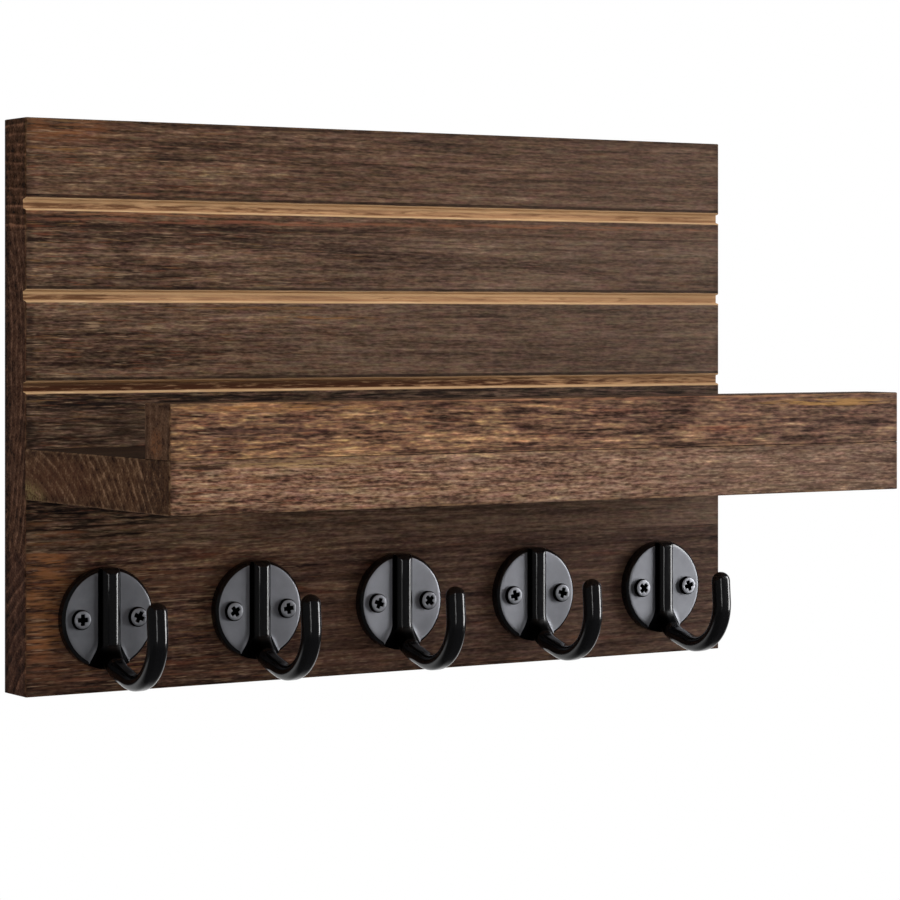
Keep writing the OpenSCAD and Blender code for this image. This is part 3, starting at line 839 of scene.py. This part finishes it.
# %% One screw
def cross_punch(top):
    """Four tapered wings and a cone, whose upper end stands clear of the head."""
    height = 2 * PUNCH_DEPTH
    punch = turned("punch_tip", [
        (0.25 * MM, top - PUNCH_DEPTH * 1.1), (0.95 * MM, top), (0.95 * MM, top + PUNCH_DEPTH)], vertices=24)
    wings = []
    for turn in (0, math.pi / 2):
        deselect()
        bpy.ops.mesh.primitive_cube_add(size=1, location=(0, 0, top), scale=(PUNCH_L, PUNCH_W, height))
        wing = take("punch_wing")
        edit(wing, "polygons", lambda middle, normal: normal.z < -0.5)
        bpy.ops.transform.resize(value=(0.42, 0.75, 1))
        wings.append(put(wing, turn=(0, 0, turn)))
    return [punch, *wings]


def screw(name, head, shank_r, length):
    """A screw along Z, with its head upwards and the underside of a pan head at the origin."""
    made = turned(name, head)
    for tool in cross_punch(head[-1][1]):
        cut(made, tool)
    finish_with(made, "BEVEL", width=0.08 * MM, segments=2, limit_method="ANGLE", angle_limit=math.radians(35))
    neck = min(height for radius, height in head)
    shank = turned(name + "_shank", [(0.15 * MM, -length), (shank_r * 0.75, 2.6 * shank_r - length),
                                     (shank_r * 0.75, neck - 0.15 * length), (shank_r, neck - 0.14 * length),
                                     (shank_r, neck)], vertices=32)
    deselect()
    bpy.ops.mesh.primitive_circle_add(
        vertices=3, radius=0.42 * shank_r, location=(shank_r * 0.68, 0, 2.2 * shank_r - length),
        rotation=(math.radians(90), math.radians(90), 0))
    thread = take(name + "_thread")
    turns = int((0.84 * length - 2.2 * shank_r) / THREAD_PITCH)
    finish_with(thread, "SCREW", screw_offset=THREAD_PITCH, iterations=turns, steps=20, render_steps=20, axis="Z")
    edit(thread, "edges", lambda middle, along: True)
    bpy.ops.mesh.fill_holes(sides=3)
    face_outwards()
    made = join(made, shank, thread)
    made.name = made.data.name = name
    choose(made)
    bpy.ops.object.shade_smooth_by_angle(angle=math.radians(35))
    print(name, len(made.data.polygons), "faces,", [round(v / MM, 2) for v in made.dimensions], "mm")
    return made


# Upright rim, round shoulder, and a crown that is nearly flat
shoulder = [(1.0, 0.0), (1.0, 0.58), (0.985, 0.72), (0.945, 0.84),
            (0.88, 0.93), (0.79, 0.975), (0.5, 0.995), (0.03, 1.0)]
pan_head = [(PAN_R * across, PAN_H * up) for across, up in shoulder]
sunk_head = [(BOARD_SHANK_R, BOARD_SHANK_R - SUNK_R), (SUNK_R - 0.1 * MM, -0.1 * MM), (SUNK_R - 0.1 * MM, 0)]
pan_screw = screw("pan_screw", pan_head, HOOK_SHANK_R, HOOK_SCREW_L)
shelf_screw = screw("shelf_screw", sunk_head, BOARD_SHANK_R, SHELF_SCREW_L)
lip_screw = screw("lip_screw", sunk_head, BOARD_SHANK_R, LIP_SCREW_L)

# %% [markdown]
# ## Black enamel on the castings
#
# Each casting is dipped in a black enamel and baked. It is hard and glossy, so the
# rounded parts show little but the lamps, as thin bright lines on black. The flat of
# the base was ground before, and the enamel is thin there: it looks like dark, satin
# metal and takes up the whole glow of the softbox. The flats are painted paler in the
# middle of the row, a painted reflection. The corners beside the rib and round the
# neck are painted near-black and dull, a painted shade. One material does all three.
# It tells them apart by the height above the board, the way a face looks, and the
# place on the hook.

# %% Black enamel
enamel, tree = new_material("baked_black_enamel")
here = add(tree, "TexCoord").outputs["Object"]
facing = add(tree, "SeparateXYZ", [add(tree, "NewGeometry").outputs["Normal"]])
x, y, z = add(tree, "SeparateXYZ", [here]).outputs
# Every hook measures from its own middle, because x starts again at each step of the row
from_rib = add(tree, "Math", [x, PITCH / 2, -PITCH / 2], operation="WRAP")
above = add(tree, "Math", [FACE_Y - BASE_T, y], **MINUS)

# Beside the rib and round the neck the enamel is painted as near-black, dull metal that mirrors almost nothing, a
# painted shade in the corners
below = add(tree, "Math", [HOOK_Z, z], **MINUS)
reach = add(tree, "MapRange", [below, 8 * MM, 19 * MM, 4.4 * MM, 8.8 * MM], **SOFT)
aside = add(tree, "Math", [reach, add(tree, "Math", [from_rib], **SIZE)], **MINUS)
within = add(tree, "MapRange", [aside, -0.15 * MM, 0.15 * MM], **SOFT)
strip = add(tree, "MapRange", [aside, 1.5 * MM, 1.0 * MM], **SOFT)
strip = add(tree, "Math", [within, strip], **TIMES)
at_neck = add(tree, "MapRange", [below, 8 * MM, 12 * MM], **SOFT)
at_neck = add(tree, "Math", [strip, at_neck], operation="MAXIMUM")
corner = add(tree, "Math", [within, at_neck], **TIMES)
height = add(tree, "MapRange", [below, 7 * MM, 12 * MM, 2.0 * MM, 6.0 * MM], **SOFT)
lower = add(tree, "Math", [height, above], **MINUS)
lower = add(tree, "MapRange", [lower, -0.4 * MM, 0.4 * MM], **SOFT)
corner = add(tree, "Math", [corner, lower], **TIMES)
# Only the front of the base: not its side, and not the underside of the arm
in_front = add(tree, "MapRange", [above, -0.3 * MM, -0.2 * MM], **SOFT)
corner = add(tree, "Math", [corner, in_front], **TIMES)

level = add(tree, "Math", [above, 0.0, 0.25 * MM], operation="COMPARE")
ground = add(tree, "MapRange", [facing.outputs["Y"], -0.93, -0.985], **SOFT)
ground = add(tree, "Math", [ground, level], **TIMES)

# Baked enamel has a faint orange peel, about 1.5 mm from bump to bump, and a little dust
peel = add(tree, "TexNoise", {"Vector": here, "Scale": 1 / (1.5 * MM), "Detail": 2.0})
cloud = add(tree, "TexNoise", {"Vector": here, "Scale": 1 / (9 * MM), "Detail": 4.0, "Roughness": 0.65})
gloss = add(tree, "MapRange", [cloud, 0.3, 0.7, 0.11, 0.19])
satin = add(tree, "MapRange", [cloud, 0.3, 0.7, 0.47, 0.53])
rough = add(tree, "Mix", {0: ground, 2: gloss, 3: satin}, data_type="FLOAT")
rough = add(tree, "Mix", {0: corner, 2: rough, 3: 0.5}, data_type="FLOAT")
# The flats vary at random with the cloud, and are painted palest in the middle of the row and darker at its ends, a
# painted reflection of the softbox
painted_reflection = add(tree, "MapRange", [add(tree, "Math", [x], **SIZE), 2 * PITCH, 0.0], **SOFT)
tone = add(tree, "MapRange", [cloud, 0.3, 0.7, 0.0, 0.35])
tone = add(tree, "Math", [painted_reflection, 0.65, tone], operation="MULTIPLY_ADD")
flat_tone = add(tree, "ValToRGB", [tone], stops=shades(["#68696d", "#8f9096"], 0, 1))
colour = add(tree, "Mix", {0: ground, 6: "#08080a", 7: flat_tone}, **COLOUR)
# The corners take the near-black of the painted shade
colour = add(tree, "Mix", {0: corner, 6: colour, 7: "#040405"}, **COLOUR)
metal = add(tree, "Math", [ground, corner], operation="MAXIMUM")
bump = add(tree, "Bump", {"Height": peel, "Strength": 0.25, "Distance": 0.02 * MM})
add(tree, "OutputMaterial", [add(tree, "BsdfPrincipled", {
    "Base Color": colour, "Metallic": metal, "Roughness": rough, "Normal": bump})])

# %% [markdown]
# The screws of the hooks are blackened and oiled, a thin finish on bright steel that
# stays metallic. The ones in the back are zinc plated: pale, a little blue, with a
# cloudy lustre. On the hook screws the cross recess and the upright rim are painted
# darker, a painted shade.

# %% Screw finishes
def screw_steel(name, dark, light, roughness, shade_mask=None):
    """Plated or blackened steel whose tone and gloss cloud over a few millimetres, and an optional painted shade
    that darkens it.
    """
    steel, tree = new_material(name)
    here = add(tree, "TexCoord").outputs["Object"]
    cloud = add(tree, "TexNoise", {"Vector": here, "Scale": 1 / (2.5 * MM), "Detail": 5.0, "Roughness": 0.7})
    scratch = add(tree, "TexNoise", {"Vector": here, "Scale": 1 / (0.35 * MM), "Detail": 3.0})
    shine = add(tree, "MapRange", [cloud, 0.3, 0.7, roughness - 0.06, roughness + 0.06])
    colour = add(tree, "ValToRGB", [cloud], stops=shades([dark, light], 0.3, 0.7))
    if shade_mask:
        painted_shade = shade_mask(tree, here)
        colour = add(tree, "Mix", {0: painted_shade, 6: colour, 7: "#040404"}, **COLOUR)
        shine = add(tree, "Mix", {0: painted_shade, 2: shine, 3: 0.8}, data_type="FLOAT")
    add(tree, "OutputMaterial", [add(tree, "BsdfPrincipled", {
        "Base Color": colour, "Metallic": 1.0, "Roughness": shine,
        "Normal": add(tree, "Bump", {"Height": scratch, "Strength": 0.2, "Distance": 0.02 * MM})})])
    return steel


def pan_painted_shade(tree, here):
    """1 where a pan head is painted dark as shade: in its cross, below the crown, and round its upright rim."""
    x, y, z = add(tree, "SeparateXYZ", [here]).outputs
    from_rib = add(tree, "Math", [x, PITCH / 2, -PITCH / 2], operation="WRAP")
    along = add(tree, "Math", [from_rib], **SIZE)
    along = add(tree, "Math", [along, SCREW_OUT], **MINUS)
    up = add(tree, "Math", [z, HOOK_Z], **MINUS)
    radius = add(tree, "VectorMath", [add(tree, "CombineXYZ", {0: along, 2: up})], operation="LENGTH")
    crown = FACE_Y - BASE_T - PAN_H
    deep = add(tree, "MapRange", [y, crown + 0.2 * MM, crown + 0.32 * MM], **SOFT)
    in_cross = add(tree, "MapRange", [radius, 3.05 * MM, 2.95 * MM], **SOFT)
    in_cross = add(tree, "Math", [deep, in_cross], **TIMES)
    round_rim = add(tree, "MapRange", [radius, 3.1 * MM, 3.25 * MM], **SOFT)
    return add(tree, "Math", [in_cross, round_rim], operation="MAXIMUM")


black_steel = screw_steel("oiled_black_steel", "#7a7b80", "#8a8b90", 0.46, pan_painted_shade)
zinc_steel = screw_steel("zinc_plated_steel", "#a9abae", "#c3c5c9", 0.36)

# %% [markdown]
# ## Copies in their places
#
# One casting and three screws are modelled. Each copy gets its own mesh, because a
# finished piece keeps its place in its mesh and its object stays at the origin. No
# two screws end at the same turn, so each cross stands at its own angle.

# %% Copies
def place_copy(model, name, place, turn, finish, slot, *nodes):
    """A copy of a modelled piece with its own mesh, in its place, which stands for CAD nodes."""
    piece = model.copy()
    piece.data = model.data.copy()
    piece.name = piece.data.name = name
    bpy.context.scene.collection.objects.link(piece)
    put(piece, place, turn)
    piece.data.materials.clear()
    piece.data.materials.append(finish)
    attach(piece, "root")
    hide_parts(*nodes)


HALF_TURN = math.radians(180)
for i in range(HOOKS):
    x = (i - 2) * PITCH
    place_copy(casting, f"hook_casting_{i + 1}", (x, FACE_Y, HOOK_Z), (0, 0, 0),
               enamel, "black_enamel", f"hook_{i + 1}")
    for side in (0, 1):
        spot = (x + (2 * side - 1) * SCREW_OUT, FACE_Y - BASE_T, HOOK_Z)
        turn = (HALF_TURN / 2, math.radians(28 * (2 * i + side)), 0)
        place_copy(pan_screw, f"pan_screw_{i + 1}_{'ab'[side]}", spot, turn,
                   black_steel, "black_screw", "hook_screws")
for i in range(BOARD_SCREWS):
    x = (i - 1) * BOARD_SCREW_PITCH
    place_copy(shelf_screw, f"shelf_screw_{i + 1}", (x, *SHELF_SCREW_AT),
               (-HALF_TURN / 2, math.radians(20 + 31 * i), 0), zinc_steel, "plated_screw", "shelf_screws")
    place_copy(lip_screw, f"lip_screw_{i + 1}", (x, *LIP_SCREW_AT),
               (HALF_TURN, 0, math.radians(12 + 37 * i)), zinc_steel, "plated_screw", "lip_screws")
for model in (casting, pan_screw, shelf_screw, lip_screw):
    bpy.data.objects.remove(model)

# %% The bounds of what is drawn
low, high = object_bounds()
